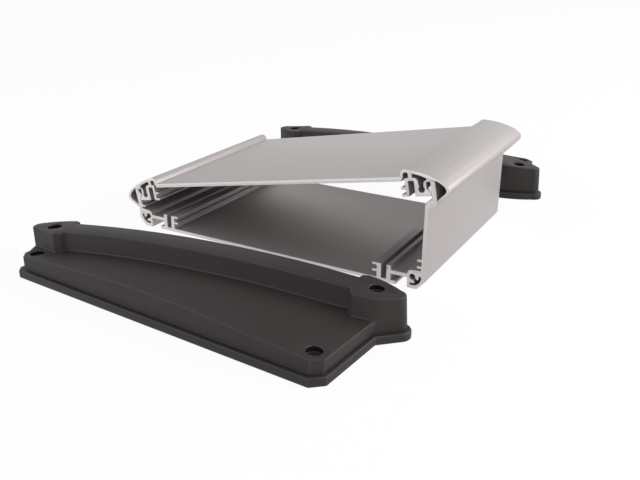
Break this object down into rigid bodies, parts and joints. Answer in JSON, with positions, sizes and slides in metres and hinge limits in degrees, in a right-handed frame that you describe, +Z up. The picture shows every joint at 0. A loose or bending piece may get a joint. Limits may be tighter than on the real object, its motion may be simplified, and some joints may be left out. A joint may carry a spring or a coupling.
{
  "type": "console enclosure",
  "caption": "Sloping-front console enclosure shown taken apart: two interlocking aluminium extrusions form an open body, with the moulded end covers laid loose beside its ends",
  "frame": {"origin": "middle of the body's base, on the surface that everything stands on", "axes": "+X from the low front to the tall rear, +Y along the extrusion towards the far cover, +Z up"},
  "size_m": [0.1808, 0.2781, 0.0523],
  "materials": {
    "extrusion": "fine satin anodised, clear",
    "cover": "fine eroded texture, moulded"
  },
  "bodies": {
    "root": {"upper_profile": "extrusion", "lower_profile": "extrusion", "near_end_cover": "cover", "far_end_cover": "cover"}
  },
  "joints": []
}
